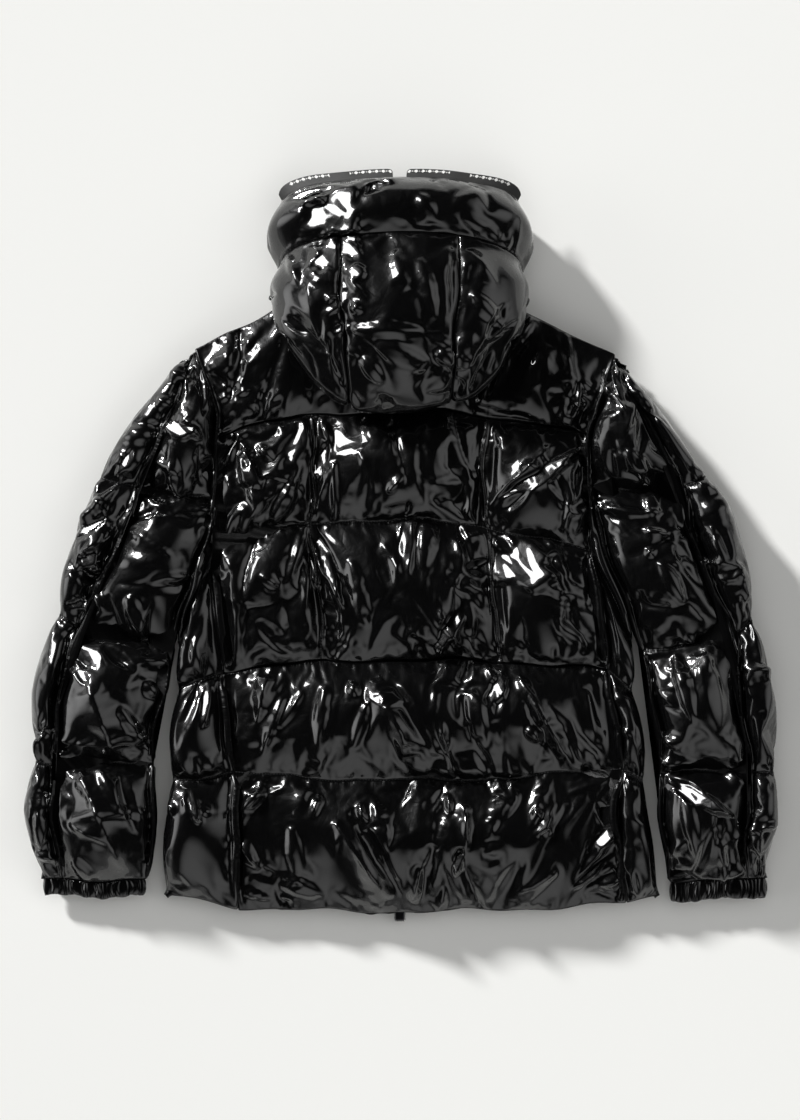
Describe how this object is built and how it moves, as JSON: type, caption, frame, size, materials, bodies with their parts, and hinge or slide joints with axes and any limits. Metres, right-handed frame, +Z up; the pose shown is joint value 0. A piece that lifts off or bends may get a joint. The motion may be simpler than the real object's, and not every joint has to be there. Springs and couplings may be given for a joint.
{
  "type": "hooded puffer jacket laid flat, back up",
  "caption": "Hooded quilted puffer jacket laid flat with its back up: padded panels, sleeves with gathered cuffs, domed hood, front zip underneath.",
  "frame": {"origin": "on the surface the jacket lies on, under the centre of its bounding box", "axes": "+Z up out of the back, +Y from the hem towards the hood, +X to the right seen from above"},
  "size_m": [0.8808, 0.881, 0.1359],
  "materials": {
    "glossy_shell": "wet-look glossy coated nylon over padding",
    "woven_tape": "matt woven tape",
    "zip_metal": "dark nickel"
  },
  "bodies": {
    "garment": {"back_yoke": "glossy_shell", "back_middle": "glossy_shell", "back_lower": "glossy_shell", "side_panel_left": "glossy_shell", "side_panel_right": "glossy_shell", "front_left": "glossy_shell", "front_right": "glossy_shell", "sleeve_left_back": "glossy_shell", "sleeve_left_front": "glossy_shell", "sleeve_right_back": "glossy_shell", "sleeve_right_front": "glossy_shell", "cuff_left": "glossy_shell", "cuff_right": "glossy_shell", "hood_centre": "glossy_shell", "hood_side_left": "glossy_shell", "hood_side_right": "glossy_shell", "hood_brim": "glossy_shell", "hood_tape_left": "woven_tape", "hood_tape_right": "woven_tape", "zip_tape": "woven_tape", "zip_slider": "zip_metal", "zip_box": "zip_metal"},
    "pull_tab": {"zip_pull": "zip_metal"}
  },
  "joints": [
    {"name": "pull_tab_swing", "type": "hinge", "parent": "garment", "child": "pull_tab", "pos_m": [0, 0.236, 0.0073], "axis": [1, 0, 0], "range_deg": [0, 170]}
  ]
}
